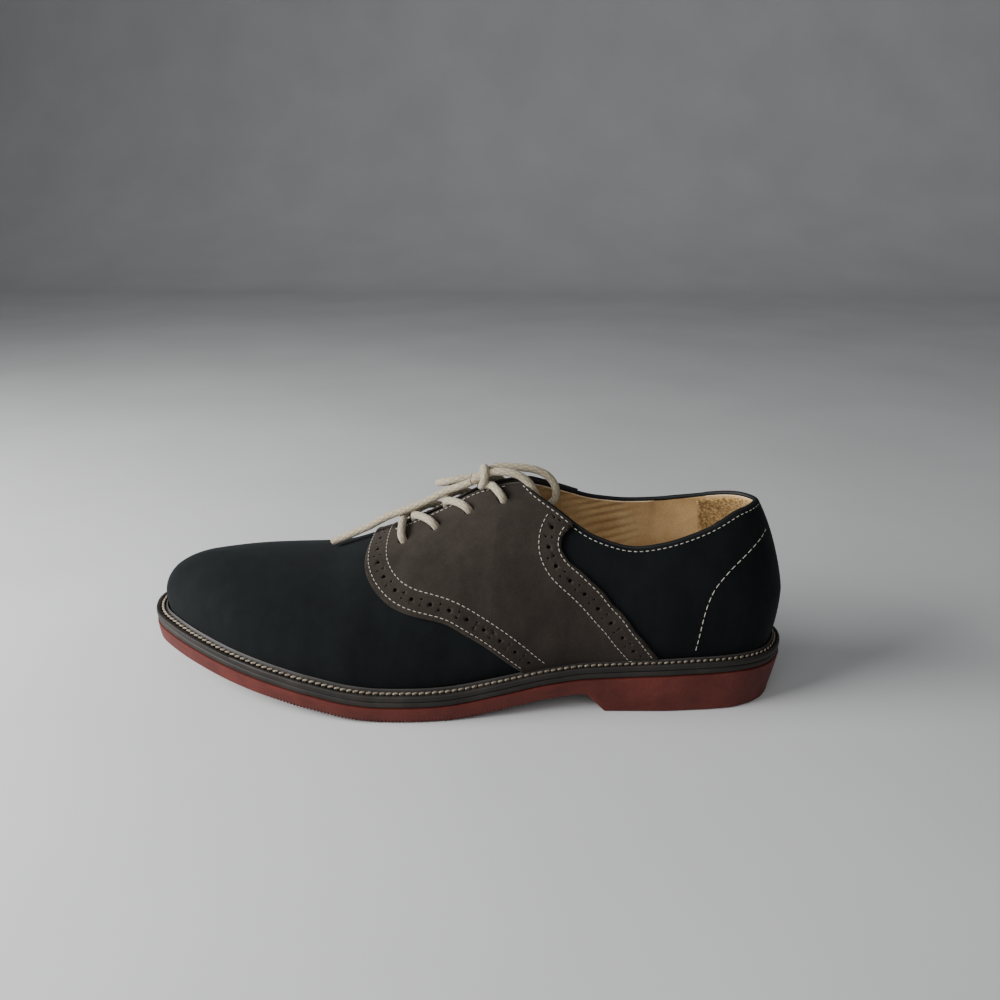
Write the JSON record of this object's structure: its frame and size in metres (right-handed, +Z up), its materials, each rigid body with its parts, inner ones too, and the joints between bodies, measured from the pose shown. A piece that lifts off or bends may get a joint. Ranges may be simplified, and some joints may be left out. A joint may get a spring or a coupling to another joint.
{
  "type": "saddle shoe",
  "caption": "Left low laced shoe with a brown saddle over a dark suede upper, on a stitched welt and a red rubber sole with a heel.",
  "frame": {"origin": "middle of the base box, on the floor that the shoe stands on, measured without the free lace", "axes": "+X from heel to toe, +Y to the outer side of the left foot, +Z up"},
  "size_m": [0.3034, 0.1052, 0.1058],
  "materials": {
    "red_rubber": "matte moulded rubber",
    "edge_brown": "waxed edge",
    "tan_lining": "smooth lining leather",
    "dark_suede": "suede nap",
    "brown_suede": "suede nap",
    "lace_cotton": "round braided cotton"
  },
  "bodies": {
    "root": {"outsole": "red_rubber", "midsole": "edge_brown", "welt": "edge_brown", "insole": "tan_lining", "upper": "dark_suede", "saddle": "brown_suede", "tongue": "dark_suede", "lace_bar": "lace_cotton", "lace_cross_1": "lace_cotton", "lace_cross_2": "lace_cotton", "lace_cross_3": "lace_cotton", "lace_knot": "lace_cotton", "lace_loop_rear": "lace_cotton", "lace_loop_front": "lace_cotton", "lace_end_front": "lace_cotton", "lace_end_inner": "lace_cotton"}
  },
  "joints": []
}
